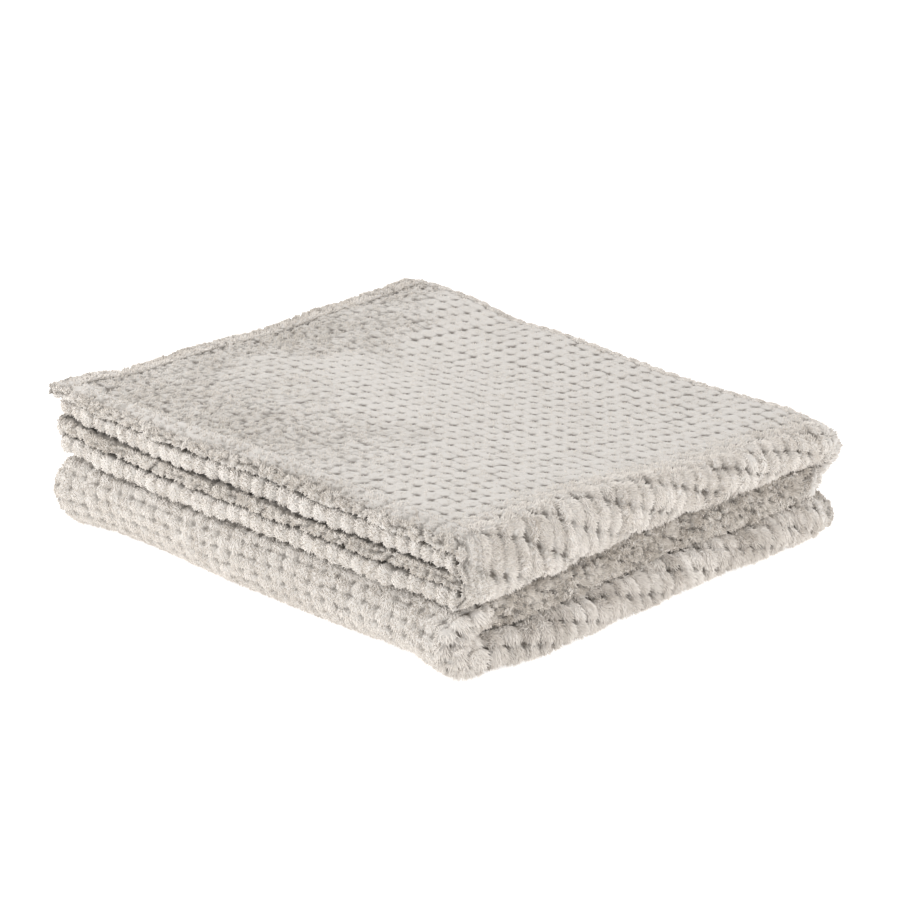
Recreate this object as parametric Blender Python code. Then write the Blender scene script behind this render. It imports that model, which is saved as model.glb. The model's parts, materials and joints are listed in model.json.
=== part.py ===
"""A throw blanket folded in quarters along its length and in thirds across, as one strip of four plies.

Axes: X runs along the strip, Y across it, Z up. The origin is under the middle of the pile, on the
surface that it lies on. Lengths are in metres. The one knitted sheet is divided at its fold lines:
a ply is a flat stretch of it between two folds, a fold joins two plies along the front or back side,
and a turn carries the whole strip from one panel round to the next.
"""

import math

import bmesh
import bpy

# The sheet, as it lies lofted under the weight of the folds above it.
PLY_THICKNESS = 0.0064
PLY_GAP = 0.0003
PLY_COUNT = 4

# The folded strip: the straight run of a ply across it, and of a panel along it.
STRIP_RUN = 0.412
PANEL_RUN = 0.339

# Hems: the sheet's edge turned under and sewn down.
SIDE_HEM_WIDTH = 0.018
SIDE_HEM_REACH = 0.008
END_HEM_WIDTH = 0.020
END_HEM_REACH = 0.0262
STITCH_WIDTH = 0.0010

# How much loftier than a pressed panel the top panel stands at its four corners.
LOFT_HEM_FRONT = 1.90
LOFT_HEM_BACK = 1.97
LOFT_TURN_FRONT = 1.00
LOFT_TURN_BACK = 1.60

# Facets: along a ply, across it, round a turn and round a fold.
LOFTED_STEPS = 6
TURN_STEPS = 8
FOLD_STEPS = 6

# What follows from the sizes above.
PLY_PITCH = PLY_THICKNESS + PLY_GAP
PANEL_HEIGHT = PLY_COUNT * PLY_THICKNESS + (PLY_COUNT - 1) * PLY_GAP
PANEL_PITCH = PANEL_HEIGHT + PLY_GAP
TURN_RADIUS = PANEL_HEIGHT + PLY_GAP / 2
FRONT_RADIUS = PANEL_HEIGHT / 2
LOWER_CREASE = PANEL_PITCH - PLY_GAP / 2
UPPER_CREASE = 2 * PANEL_PITCH - PLY_GAP / 2
STRIP_WIDTH = FRONT_RADIUS + STRIP_RUN + SIDE_HEM_REACH
FRONT_LINE = FRONT_RADIUS - STRIP_WIDTH / 2
BACK_LINE = FRONT_LINE + STRIP_RUN
HEM_LINE = BACK_LINE + SIDE_HEM_REACH - SIDE_HEM_WIDTH
SEAM_ROOM = STITCH_WIDTH + 2 * PLY_GAP
TURN_LINE = PANEL_RUN / 2
END_HEM_LINE = TURN_LINE + END_HEM_REACH - END_HEM_WIDTH

SMOOTH = (0.70, 0.665, 0.62)
SHADED = (0.50, 0.46, 0.41)
THREAD = (0.72, 0.69, 0.65)


def clear_scene():
    """Remove every object the file opened with."""
    for thing in list(bpy.data.objects):
        bpy.data.objects.remove(thing, do_unlink=True)


def make_material(name, color, roughness):
    """A plain cloth material of one colour."""
    material = bpy.data.materials.new(name)
    material.use_nodes = True
    shader = material.node_tree.nodes["Principled BSDF"]
    shader.inputs["Base Color"].default_value = (*color, 1.0)
    shader.inputs["Roughness"].default_value = roughness
    shader.inputs["Metallic"].default_value = 0.0
    return material


def spread(start, end, steps):
    """Evenly spaced values from start to end."""
    return [start + (end - start) * step / steps for step in range(steps + 1)]


# A section is two lines of (across, depth) points with as many points each. Depth counts from the
# face of the first ply, so it keeps its meaning when a turn flips the strip over.


def flat_section(front, back, ply, steps):
    """A ply's section from its front end to its back end."""
    top = ply * PLY_PITCH
    rows = spread(front, back, steps)
    return [(y, top) for y in rows], [(y, top + PLY_THICKNESS) for y in rows]


def hem_section(front, back, ply):
    """A turned edge: a ply-thick band whose outer side is rounded."""
    top = ply * PLY_PITCH
    middle = top + PLY_THICKNESS / 2
    radius = PLY_THICKNESS / 2
    outer = []
    inner = []
    for step in range(FOLD_STEPS):
        angle = math.pi / 2 * step / (FOLD_STEPS - 0.5)
        y = back - radius + radius * math.sin(angle)
        drop = radius * math.cos(angle)
        outer.append((y, middle - drop))
        inner.append((y, middle + drop))
    return [(front, top)] + outer, [(front, top + PLY_THICKNESS)] + inner


def fold_section(line, side, center, inner_radius, outer_radius):
    """A half ring that joins two plies at the strip's front (side -1) or back (side 1)."""
    outer = []
    inner = []
    for angle in spread(0.0, math.pi, FOLD_STEPS):
        across = side * math.sin(angle)
        depth = -math.cos(angle)
        outer.append((line + across * outer_radius, center + depth * outer_radius))
        inner.append((line + across * inner_radius, center + depth * inner_radius))
    return outer, inner


def outer_fold_section():
    """The front fold that joins the first ply to the last."""
    inner_radius = FRONT_RADIUS - PLY_THICKNESS
    return fold_section(FRONT_LINE - PLY_GAP, -1, FRONT_RADIUS, inner_radius, FRONT_RADIUS)


def inner_fold_section():
    """The front fold that lies inside the outer one and joins the two middle plies."""
    outer_radius = FRONT_RADIUS - PLY_THICKNESS - PLY_GAP
    return fold_section(FRONT_LINE - PLY_GAP, -1, FRONT_RADIUS, PLY_GAP / 2, outer_radius)


def back_fold_section():
    """The back fold that joins the third ply to the last."""
    center = 3 * PLY_PITCH - PLY_GAP / 2
    return fold_section(BACK_LINE + PLY_GAP, 1, center, PLY_GAP / 2, PLY_THICKNESS + PLY_GAP / 2)


def stitch_section(ply):
    """The row of stitches between a ply and its side hem."""
    front = HEM_LINE - PLY_GAP - STITCH_WIDTH
    return flat_section(front, HEM_LINE - PLY_GAP, ply, 1)


# A path is a list of (x, z, direction) stations: where the first ply's face runs, and which way the
# depth of the section points from there.


def straight_path(start, end, level, up, steps):
    """A level run whose depth points up or down."""
    return [(x, level, (0.0, up)) for x in spread(start, end, steps)]


def turn_path(line, side, level, first_radius, inward):
    """Half a turn round a crease, on the strip's side -1 or 1."""
    stations = []
    for angle in spread(0.0, math.pi, TURN_STEPS):
        outward = (side * math.sin(angle), math.cos(angle))
        x = line + outward[0] * first_radius
        z = level + outward[1] * first_radius
        direction = (-outward[0], -outward[1]) if inward else outward
        stations.append((x, z, direction))
    return stations


def loft(x, y):
    """The top panel's thickness at a place, against that of a pressed panel."""
    along = min(max((x + TURN_LINE) / PANEL_RUN, 0.0), 1.0)
    across = min(max((y - FRONT_LINE) / STRIP_RUN, 0.0), 1.0)
    along = along * along * (3 - 2 * along)
    at_hem = LOFT_HEM_FRONT + (LOFT_HEM_BACK - LOFT_HEM_FRONT) * across
    at_turn = LOFT_TURN_FRONT + (LOFT_TURN_BACK - LOFT_TURN_FRONT) * across ** 2
    return at_hem + (at_turn - at_hem) * along


def place(x, y, z):
    """A point of the pile, with what lies above the upper crease lofted."""
    if z > UPPER_CREASE:
        z = UPPER_CREASE + (z - UPPER_CREASE) * loft(x, y)
    return (x, y, z)


def sweep_into(mesh, section, path):
    """Add the closed solid that a section makes along a path."""
    outer, inner = section
    rings = []
    for x, z, direction in path:
        rows = []
        for line in (outer, inner):
            rows.append(
                [
                    mesh.verts.new(place(x + direction[0] * w, y, z + direction[1] * w))
                    for y, w in line
                ]
            )
        rings.append(rows)
    last = len(outer) - 1
    for rows, ahead in zip(rings, rings[1:]):
        for side in (0, 1):
            for i in range(last):
                mesh.faces.new((rows[side][i], rows[side][i + 1], ahead[side][i + 1], ahead[side][i]))
        for i in (0, last):
            mesh.faces.new((rows[0][i], rows[1][i], ahead[1][i], ahead[0][i]))
    for rows in (rings[0], rings[-1]):
        for i in range(last):
            mesh.faces.new((rows[0][i], rows[0][i + 1], rows[1][i + 1], rows[1][i]))


def add_object(name, section, path, material, parent):
    """One node: the solid that a section makes along a path."""
    mesh = bmesh.new()
    sweep_into(mesh, section, path)
    bmesh.ops.recalc_face_normals(mesh, faces=mesh.faces)
    data = bpy.data.meshes.new(name)
    mesh.to_mesh(data)
    mesh.free()
    data.shade_smooth()
    data.set_sharp_from_angle(angle=math.radians(40))
    data.materials.append(material)
    thing = bpy.data.objects.new(name, data)
    bpy.context.scene.collection.objects.link(thing)
    thing.parent = parent
    thing.matrix_parent_inverse = parent.matrix_world.inverted()
    return thing


def add_pivot(name, x, z):
    """The empty that a panel turns about."""
    pivot = bpy.data.objects.new(name, None)
    pivot.location = (x, 0.0, z)
    bpy.context.scene.collection.objects.link(pivot)
    bpy.context.view_layer.update()
    return pivot


def ply_front_and_back(ply):
    """Where a ply begins and ends across the strip: plies with a side hem stop at its seam."""
    if ply < 2:
        return FRONT_LINE, HEM_LINE - SEAM_ROOM
    return FRONT_LINE, BACK_LINE


def add_panel(name, path, steps, materials, parent):
    """A panel: four plies, the folds that join them, the side hems and their stitches."""
    cloth, shaded, thread = materials
    for ply in range(PLY_COUNT):
        front, back = ply_front_and_back(ply)
        section = flat_section(front, back, ply, steps)
        add_object(f"{name}_ply_{ply + 1}", section, path, cloth, parent)
    add_object(f"{name}_outer_fold", outer_fold_section(), path, cloth, parent)
    add_object(f"{name}_inner_fold", inner_fold_section(), path, shaded, parent)
    add_object(f"{name}_back_fold", back_fold_section(), path, cloth, parent)
    for ply in range(2):
        section = hem_section(HEM_LINE, HEM_LINE + SIDE_HEM_WIDTH, ply)
        add_object(f"{name}_side_hem_{ply + 1}", section, path, shaded, parent)
        add_object(f"{name}_side_stitches_{ply + 1}", stitch_section(ply), path, thread, parent)


def add_turn(name, path, steps, materials, parent):
    """A turn: the strip's four plies and its folds, carried round a crease."""
    cloth, shaded = materials[0], materials[1]
    for ply in range(PLY_COUNT):
        back = BACK_LINE if ply >= 2 else HEM_LINE + SIDE_HEM_WIDTH - PLY_THICKNESS / 2
        section = flat_section(FRONT_LINE, back, ply, steps)
        add_object(f"{name}_ply_{ply + 1}", section, path, cloth, parent)
    add_object(f"{name}_outer_fold", outer_fold_section(), path, cloth, parent)
    add_object(f"{name}_inner_fold", inner_fold_section(), path, shaded, parent)
    add_object(f"{name}_back_fold", back_fold_section(), path, cloth, parent)


def joined(sections):
    """One section from several that meet end to end, given in order along the sheet."""
    outer = []
    inner = []
    for first, second in sections:
        outer.extend(first)
        inner.extend(second)
    return outer, inner


def reversed_section(section):
    """The same section drawn from its other end, with its two lines changed over."""
    outer, inner = section
    return inner[::-1], outer[::-1]


def end_hem_section(steps):
    """The sheet's whole width at its end, folded in quarters: from the first side hem to the second."""
    edge = HEM_LINE + SIDE_HEM_WIDTH - PLY_THICKNESS / 2
    first = flat_section(edge, FRONT_LINE, 0, steps)
    last = flat_section(FRONT_LINE, BACK_LINE, 3, steps)
    third = flat_section(BACK_LINE, FRONT_LINE, 2, steps)
    second = flat_section(FRONT_LINE, edge, 1, steps)
    outer_fold = outer_fold_section()
    back_fold = reversed_section(back_fold_section())
    inner_fold = reversed_section(inner_fold_section())
    return joined(
        [
            first,
            outer_fold,
            (last[1], last[0]),
            (back_fold[1], back_fold[0]),
            third,
            (inner_fold[1], inner_fold[0]),
            (second[1], second[0]),
        ]
    )


def add_end_hem(name, start, end, level, up, steps, materials, parent):
    """The hem across a free end of the strip, and the row of stitches beside it."""
    shaded, thread = materials[1], materials[2]
    section = end_hem_section(steps)
    away = 1 if end > start else -1
    hem_path = straight_path(start, end, level, up, 1)
    stitch_start = start - away * PLY_GAP
    stitch_path = straight_path(stitch_start - away * STITCH_WIDTH, stitch_start, level, up, 1)
    add_object(f"{name}_end_hem", section, hem_path, shaded, parent)
    add_object(f"{name}_end_stitches", section, stitch_path, thread, parent)


def main():
    clear_scene()
    materials = (
        make_material("cloth", SMOOTH, 0.95),
        make_material("cloth_shaded", SHADED, 0.97),
        make_material("thread", THREAD, 0.80),
    )
    crease_offset = TURN_RADIUS / 2 + PLY_GAP
    lower_pivot = add_pivot("lower_fold_axis", -TURN_LINE - crease_offset, LOWER_CREASE)
    upper_pivot = add_pivot("upper_fold_axis", TURN_LINE + crease_offset, UPPER_CREASE)
    middle = add_pivot("middle_panel_place", 0.0, 0.0)

    bottom_top = PANEL_HEIGHT
    middle_bottom = PANEL_PITCH
    top_top = 2 * PANEL_PITCH + PANEL_HEIGHT
    panel_end = END_HEM_LINE - SEAM_ROOM
    clear = TURN_LINE - PLY_GAP

    bottom_path = straight_path(-clear, panel_end, bottom_top, -1, 1)
    middle_path = straight_path(-clear, clear, middle_bottom, 1, 1)
    top_path = straight_path(-panel_end, clear, top_top, -1, LOFTED_STEPS)
    add_panel("bottom", bottom_path, 1, materials, lower_pivot)
    add_panel("middle", middle_path, 1, materials, middle)
    add_panel("top", top_path, LOFTED_STEPS, materials, upper_pivot)

    lower_turn = turn_path(-TURN_LINE, -1, LOWER_CREASE, PLY_GAP / 2, False)
    upper_turn = turn_path(TURN_LINE, 1, UPPER_CREASE, TURN_RADIUS, True)
    add_turn("lower_turn", lower_turn, 1, materials, middle)
    add_turn("upper_turn", upper_turn, LOFTED_STEPS, materials, middle)

    end = END_HEM_LINE + END_HEM_WIDTH
    add_end_hem("bottom", END_HEM_LINE, end, bottom_top, -1, 1, materials, lower_pivot)
    add_end_hem("top", -END_HEM_LINE, -end, top_top, -1, LOFTED_STEPS, materials, upper_pivot)


main()
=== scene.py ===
"""The looks of a folded throw blanket: one plush bobble-knit sheet, quartered and then folded in thirds."""

import json
import math

import bpy
import numpy as np
from bpy.props import FloatProperty, FloatVectorProperty, PointerProperty
from mathutils import Matrix, Vector


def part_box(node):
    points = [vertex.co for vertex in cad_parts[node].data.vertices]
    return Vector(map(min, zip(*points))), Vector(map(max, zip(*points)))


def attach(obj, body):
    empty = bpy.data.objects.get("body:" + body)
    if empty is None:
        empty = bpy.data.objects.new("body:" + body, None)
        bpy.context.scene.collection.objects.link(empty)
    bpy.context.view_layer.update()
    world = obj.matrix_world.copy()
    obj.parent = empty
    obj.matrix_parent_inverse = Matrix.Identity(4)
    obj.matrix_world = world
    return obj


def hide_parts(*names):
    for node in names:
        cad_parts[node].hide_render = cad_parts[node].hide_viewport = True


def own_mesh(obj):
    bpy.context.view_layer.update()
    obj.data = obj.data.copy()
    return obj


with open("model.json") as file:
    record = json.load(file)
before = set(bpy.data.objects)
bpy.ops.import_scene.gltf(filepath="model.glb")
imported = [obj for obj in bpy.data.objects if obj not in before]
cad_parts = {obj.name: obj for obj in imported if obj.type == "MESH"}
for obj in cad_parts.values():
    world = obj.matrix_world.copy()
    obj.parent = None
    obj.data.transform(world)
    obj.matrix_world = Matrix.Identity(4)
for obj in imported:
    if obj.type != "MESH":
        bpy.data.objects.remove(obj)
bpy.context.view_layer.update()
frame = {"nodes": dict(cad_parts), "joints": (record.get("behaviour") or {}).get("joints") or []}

bl_info = {
    "name": "Folded throw blanket",
    "version": (1, 0, 0),
    "blender": (4, 5, 0),
    "location": "View3D > Sidebar > Throw",
    "description": "Makes the cloth, hems, stitches and nap of a folded throw blanket",
    "category": "Object",
}

# ---------------------------------------------------------------- the strip's sizes, from the frame

LEVEL = {joint["name"]: joint["pos_m"][2] for joint in frame["joints"]}
LOWER_CREASE = LEVEL["lower_fold"]
UPPER_CREASE = LEVEL["upper_fold"]
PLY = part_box("middle_ply_1")[1].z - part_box("middle_ply_1")[0].z
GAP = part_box("middle_ply_1")[0].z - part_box("bottom_ply_1")[1].z
PLY_PITCH = PLY + GAP
PLY_COUNT = 4
PANEL_HEIGHT = PLY_COUNT * PLY + (PLY_COUNT - 1) * GAP
TURN_RADIUS = PANEL_HEIGHT + GAP / 2
FRONT_RADIUS = PANEL_HEIGHT / 2
FRONT_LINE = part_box("middle_ply_4")[0].y
BACK_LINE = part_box("middle_ply_4")[1].y
HEM_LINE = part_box("middle_side_hem_1")[0].y
HEM_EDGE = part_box("middle_side_hem_1")[1].y
TURN_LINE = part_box("upper_turn_ply_1")[0].x
END_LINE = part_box("bottom_end_hem")[0].x
END_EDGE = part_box("bottom_end_hem")[1].x
TURN_LENGTH = math.pi * TURN_RADIUS
STRIP_RUN = BACK_LINE - FRONT_LINE
PANEL_RUN = 2 * TURN_LINE
TOP_LEVEL = UPPER_CREASE + GAP / 2 + PANEL_HEIGHT
MIDDLE_LEVEL = LOWER_CREASE + GAP / 2
BOTTOM_LEVEL = PANEL_HEIGHT

# Each panel's start and end along the strip, the level of its first ply's face, and which way depth points.
PANELS = (
    ("top", -END_LINE, TURN_LINE, TOP_LEVEL, -1),
    ("middle", -TURN_LINE, TURN_LINE, MIDDLE_LEVEL, 1),
    ("bottom", -TURN_LINE, END_LINE, BOTTOM_LEVEL, -1),
)


def corner_loft(x_side, y_side):
    """How many times loftier than a pressed panel the top panel stands at one of its corners."""
    low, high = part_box("top_ply_1")
    x = high.x if x_side > 0 else low.x
    y = high.y if y_side > 0 else low.y
    points = [v.co for v in frame["nodes"]["top_ply_1"].data.vertices]
    there = [p.z for p in points if abs(p.x - x) < PLY / 2 and abs(p.y - y) < PLY / 2]
    return (max(there) - UPPER_CREASE) / TURN_RADIUS


LOFT = {(i, j): corner_loft(i, j) for i in (-1, 1) for j in (-1, 1)}

# ---------------------------------------------------------------- sums on arrays


def smooth(value, start, end):
    """0 before start, 1 after end, and an S between them."""
    share = np.clip((value - start) / (end - start), 0.0, 1.0)
    return share * share * (3 - 2 * share)


def scatter(i, j, salt):
    """A repeatable number from 0 to 1 for each pair of whole numbers."""
    mixed = np.sin(i * 127.1 + j * 311.7 + salt * 74.7) * 43758.5453
    return mixed - np.floor(mixed)


def clouds(u, v, salt):
    """Smooth noise from -1 to 1 over a plane, with features one unit across."""
    i, j = np.floor(u), np.floor(v)
    a, b = u - i, v - j
    a = a * a * (3 - 2 * a)
    b = b * b * (3 - 2 * b)
    near = scatter(i, j, salt) * (1 - a) + scatter(i + 1, j, salt) * a
    far = scatter(i, j + 1, salt) * (1 - a) + scatter(i + 1, j + 1, salt) * a
    return 2 * (near * (1 - b) + far * b) - 1
PUFF_REACH = 0.60


def puffs(s, t, pitch, skew, jitter, lean, salt):
    """The relief of staggered bobbles, about 1 on their crowns and below 0 in the holes between
    them, and how far each point is from the seams where two bobbles meet."""
    column = s / pitch[0]
    row = (t - skew * column) / pitch[1]
    crest = np.full(np.broadcast(s, t).shape, -1.0)
    second = crest
    for di in (-1, 0, 1):
        for dj in (-1, 0, 1):
            i = np.round(column) + di
            j = np.round(row) + dj
            off_i = (scatter(i, j, salt) - 0.5) * jitter
            off_j = (scatter(i, j, salt + 1) - 0.5) * jitter
            ds = (column - i - off_i) / PUFF_REACH
            dt = (row - j - off_j) / PUFF_REACH
            height = 1.0 - ds * ds - dt * dt + lean[0] * ds + lean[1] * dt
            height = height + 0.25 * jitter * (scatter(i, j, salt + 2) - 0.5)
            second = np.maximum(second, np.minimum(crest, height))
            crest = np.maximum(crest, height)
    return crest, crest - second


# ---------------------------------------------------------------- how the pile has settled

SIDE_DEPTH = 0.05  # how far in from its sides the pile is disturbed
BELLY = 0.0045  # the middle panel's front is pushed in
WAVER = 0.0030  # the sides wander in and out
LOW_REACH = 0.007  # the bottom panel's left corners reach further out
LOW_TUCK = 0.010  # its front left corner is drawn back
LOW_SPREAD = 0.006  # and its front spreads further along
TURN_TUCK = 0.013  # the pile is drawn in below the upper turn
SWELL = 0.0058  # the top swells along its turn and by the far corner
CORNER_LIFT = 0.035  # the share by which the back left corner stands higher
DRIFT = 0.030  # the share by which the height wanders


def settle(points):
    """Where points of the regular pile lie in the real one: lofted on top, and uneven at its sides."""
    x, y, z = (points[..., axis].copy() for axis in range(3))
    along = smooth(x, -TURN_LINE, TURN_LINE)
    across = np.clip((y - FRONT_LINE) / STRIP_RUN, 0.0, 1.0)
    at_hem = LOFT[-1, -1] + (LOFT[-1, 1] - LOFT[-1, -1]) * across
    at_turn = LOFT[1, -1] + (LOFT[1, 1] - LOFT[1, -1]) * across ** 2
    loft = at_hem + (at_turn - at_hem) * along
    lofted = UPPER_CREASE + (z - UPPER_CREASE) * loft
    height = np.where(z > UPPER_CREASE, lofted, z)
    front = 1 - smooth(y, FRONT_LINE, FRONT_LINE + SIDE_DEPTH)
    back = smooth(y, BACK_LINE - SIDE_DEPTH, BACK_LINE)
    left = 1 - smooth(x, -TURN_LINE, -TURN_LINE + SIDE_DEPTH)
    right = smooth(x, TURN_LINE - SIDE_DEPTH, TURN_LINE)
    middle = np.exp(-(((height - 0.040) / 0.012) ** 2))
    y += BELLY * middle * front
    y += WAVER * clouds(x / 0.085 + 3.1, height / 0.021, 5) * (front + back)
    x += WAVER * clouds(y / 0.085 + 7.7, height / 0.021, 6) * (left + right)
    low = 1 - smooth(height, 0.026, 0.050)
    x -= LOW_REACH * low * left * (front + back)
    y += LOW_TUCK * low * left * front
    y -= LOW_SPREAD * low * front * smooth(x, 0.02, 0.12)
    dip = np.exp(-(((y - 0.10) / 0.035) ** 2))
    swell = smooth(x, 0.08, 0.17) * smooth(y, -0.215, -0.17) * (1 - 0.7 * dip)
    swell += 0.7 * smooth(x, 0.0, 0.08) * smooth(y, 0.10, 0.17) * (1 - swell)
    height += SWELL * swell * smooth(height, UPPER_CREASE, UPPER_CREASE + 0.030)
    height = height * (1 + CORNER_LIFT * left * back)
    x -= TURN_TUCK * smooth(x, 0.10, 0.20) * (1 - smooth(height, 0.030, 0.052))
    height = height * (1 + DRIFT * clouds(x / 0.10 + 1.3, y / 0.10 + 4.2, 7))
    return np.stack([x, y, height], axis=-1)


# ---------------------------------------------------------------- the folded strip's section
# The sheet is followed from the edge of its first side hem, over the top ply, round the outer fold,
# back along the last ply, round the back fold, and so in to the second ply and its hem. Depth counts
# from the first ply's face. The right side is the one that shows on top.

RUNS = ("ply_1", "outer_fold", "ply_4", "back_fold", "ply_3", "inner_fold", "ply_2")


def ply_run(ply, start, end, facing, count):
    y = np.linspace(start, end, count)
    depth = np.full(count, ply * PLY_PITCH + PLY / 2)
    return y, depth, np.zeros(count), np.full(count, float(facing))


def fold_run(line, side, center, radius, first, last, facing, count):
    angle = np.linspace(first, last, count)
    across = side * np.sin(angle)
    down = np.cos(angle)
    return line + across * radius, center + down * radius, across * facing, down * facing


def run_points(name, count, edge):
    """A run's middle line and right-side normal: (across, depth, normal across, normal depth)."""
    tight = (PLY + GAP) / 2
    wide = FRONT_RADIUS - PLY / 2
    if name == "ply_1":
        return ply_run(0, edge, FRONT_LINE, -1, count)
    if name == "outer_fold":
        return fold_run(FRONT_LINE, -1, FRONT_RADIUS, wide, math.pi, 0, 1, count)
    if name == "ply_4":
        return ply_run(3, FRONT_LINE, BACK_LINE, 1, count)
    if name == "back_fold":
        return fold_run(BACK_LINE, 1, 3 * PLY_PITCH - GAP / 2, tight, 0, math.pi, 1, count)
    if name == "ply_3":
        return ply_run(2, BACK_LINE, FRONT_LINE, -1, count)
    if name == "inner_fold":
        return fold_run(FRONT_LINE, -1, FRONT_RADIUS, tight, 0, math.pi, -1, count)
    return ply_run(1, FRONT_LINE, edge, 1, count)


def whole_section(counts, edge):
    """The sheet's middle line across its whole width, as columns: across, depth, normals, cloth, run."""
    columns = []
    cloth = FRONT_LINE - edge
    for number, name in enumerate(RUNS):
        y, depth, across, down = run_points(name, counts[name] + 1, edge)
        steps = np.hypot(np.diff(y), np.diff(depth))
        t = cloth + np.concatenate([[0.0], np.cumsum(steps)])
        cloth = t[-1]
        keep = slice(0, None) if number == len(RUNS) - 1 else slice(0, -1)
        run = np.full(len(y), float(number))
        columns.append(np.stack([y, depth, across, down, t, run])[:, keep])
    return np.concatenate(columns, axis=1)


def section_loop(right_counts, wrong_counts, edge):
    """The closed outline of the sheet's section, first its right side and then back along its wrong side."""
    right = whole_section(right_counts, edge)
    wrong = whole_section(wrong_counts, edge)[:, ::-1].copy()
    right = np.concatenate([right, np.ones((1, right.shape[1]))])
    wrong[2:4] *= -1
    wrong = np.concatenate([wrong, np.zeros((1, wrong.shape[1]))])
    loop = np.concatenate([right, wrong], axis=1)
    loop[0] += loop[2] * PLY / 2
    loop[1] += loop[3] * PLY / 2
    return loop


# The length of a face: where no cloth shows, on the shown folds at the front, and on those at the back.
HIDDEN_STEP, FRONT_STEP, BACK_STEP = 0.040, 0.0014, 0.0025


def sampling(default, **fine):
    """How many steps each run takes, from the length of one step on it."""
    lengths = {
        "outer_fold": math.pi * FRONT_RADIUS,
        "back_fold": math.pi * PLY,
        "inner_fold": math.pi * PLY,
    }
    counts = {}
    for name in RUNS:
        length = lengths.get(name, STRIP_RUN)
        counts[name] = max(4, round(length / fine.get(name, default)))
    return counts


# ---------------------------------------------------------------- the strip's path
# A station is (x, z, x of depth, z of depth, cloth length): where the first ply's face runs, and which
# way depth points. The cloth length runs on along the outermost ply of each turn.


def level_path(start, end, level, up, cloth, step):
    count = max(2, round(abs(end - start) / step)) + 1
    x = np.linspace(start, end, count)
    s = cloth + np.abs(x - start)
    return np.stack([x, np.full(count, level), np.zeros(count), np.full(count, float(up)), s])


def turn_path(line, side, level, first_radius, inward, cloth, step):
    count = max(8, round(TURN_LENGTH / step)) + 1
    angle = np.linspace(0.0, math.pi, count)
    out_x = side * np.sin(angle)
    out_z = np.cos(angle)
    facing = -1.0 if inward else 1.0
    s = cloth + angle * TURN_RADIUS
    x = line + out_x * first_radius
    z = level + out_z * first_radius
    return np.stack([x, z, facing * out_x, facing * out_z, s])


def lay(path, loop):
    """Points, outward normals and cloth coordinates of a section carried along a path."""
    x0, z0, dx, dz, s = (row[:, None] for row in path)
    y, depth, across, down = (row[None, :] for row in loop[:4])
    ones = np.ones_like(x0)
    points = np.stack([x0 + dx * depth, y * ones, z0 + dz * depth], axis=-1)
    normals = np.stack([dx * down, across * ones, dz * down], axis=-1)
    return points, normals, s * np.ones_like(y), loop[4][None, :] * ones


# ---------------------------------------------------------------- meshes

MAP_NAME = "OFBake"


def grid_mesh(name, points, marks, material):
    """A closed mesh from rings of points: the rings close on themselves and the two ends are capped."""
    rings, count = points.shape[:2]
    index = np.arange(rings * count).reshape(rings, count)
    ahead = np.roll(index, -1, axis=1)
    quads = np.stack([index[:-1], ahead[:-1], ahead[1:], index[1:]], axis=-1).reshape(-1, 4)
    flat = points.reshape(-1, 3)
    first, last = index[0][::-1], index[-1]
    a, b, c, d = (flat[quads[:, k]] for k in range(4))
    volume = np.einsum("ij,ij->i", a, np.cross(b, c)).sum()
    volume += np.einsum("ij,ij->i", a, np.cross(c, d)).sum()
    for cap in (first, last):
        ring = flat[cap]
        volume += np.einsum("ij,ij->i", ring[0] + 0 * ring[1:-1], np.cross(ring[1:-1], ring[2:])).sum()
    turned = volume < 0
    if turned:
        quads, first, last = quads[:, ::-1], first[::-1], last[::-1]
    corners = np.concatenate([quads.ravel(), first, last])
    sides = np.concatenate([np.full(len(quads), 4), [count, count]])
    starts = np.concatenate([[0], np.cumsum(sides)[:-1]])
    mesh = bpy.data.meshes.new(name)
    mesh.vertices.add(len(flat))
    mesh.vertices.foreach_set("co", flat.astype(np.float32).ravel())
    mesh.loops.add(len(corners))
    mesh.loops.foreach_set("vertex_index", corners.astype(np.int32))
    mesh.polygons.add(len(sides))
    mesh.polygons.foreach_set("loop_start", starts.astype(np.int32))
    mesh.update(calc_edges=True)
    for mark, values in marks.items():
        kind, field = ("FLOAT_VECTOR", "vector") if mark == "comb" else ("FLOAT", "value")
        attribute = mesh.attributes.new(mark, kind, "POINT")
        attribute.data.foreach_set(field, values.astype(np.float32).ravel())
    places = grid_map(rings, count, turned, flat[first], flat[last])
    mesh.uv_layers.new(name=MAP_NAME).uv.foreach_set("vector", places.astype(np.float32).ravel())
    mesh.shade_smooth()
    mesh.materials.append(material)
    return add_to_scene(name, mesh)


def grid_map(rings, count, turned, first, last):
    """The map of a mesh of rings, with a margin at each end that holds a cap."""
    ring = np.arange(count) / count
    ahead = ring + 1 / count
    step = 0.05 + 0.90 * np.arange(rings) / (rings - 1)
    u = np.stack([ring, ahead, ahead, ring], axis=-1)[None] + np.zeros((rings - 1, 1, 1))
    v = np.stack([step[:-1], step[:-1], step[1:], step[1:]], axis=-1)[:, None]
    v = v + np.zeros((1, count, 1))
    if turned:
        u, v = u[..., ::-1], v[..., ::-1]
    places = [np.stack([u, v], axis=-1).reshape(-1, 2)]
    for cap, low in ((first, 0.0), (last, 0.96)):
        spans = np.ptp(cap, axis=0)
        wide, tall = np.argsort(spans)[::-1][:2]
        at = (cap - cap.min(axis=0)) / np.maximum(spans, 1e-9)
        places.append(np.stack([at[:, wide], low + 0.04 * at[:, tall]], axis=-1))
    return np.concatenate(places)


def add_to_scene(name, mesh):
    """An object that holds a mesh, in the scene."""
    thing = bpy.data.objects.new(name, mesh)
    bpy.context.scene.collection.objects.link(thing)
    return thing


def raise_pile(points, normals, relief):
    """Settled points moved along their normals by the relief of the pile."""
    return settle(points) + normals * relief[..., None]


# ---------------------------------------------------------------- shader sums


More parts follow.
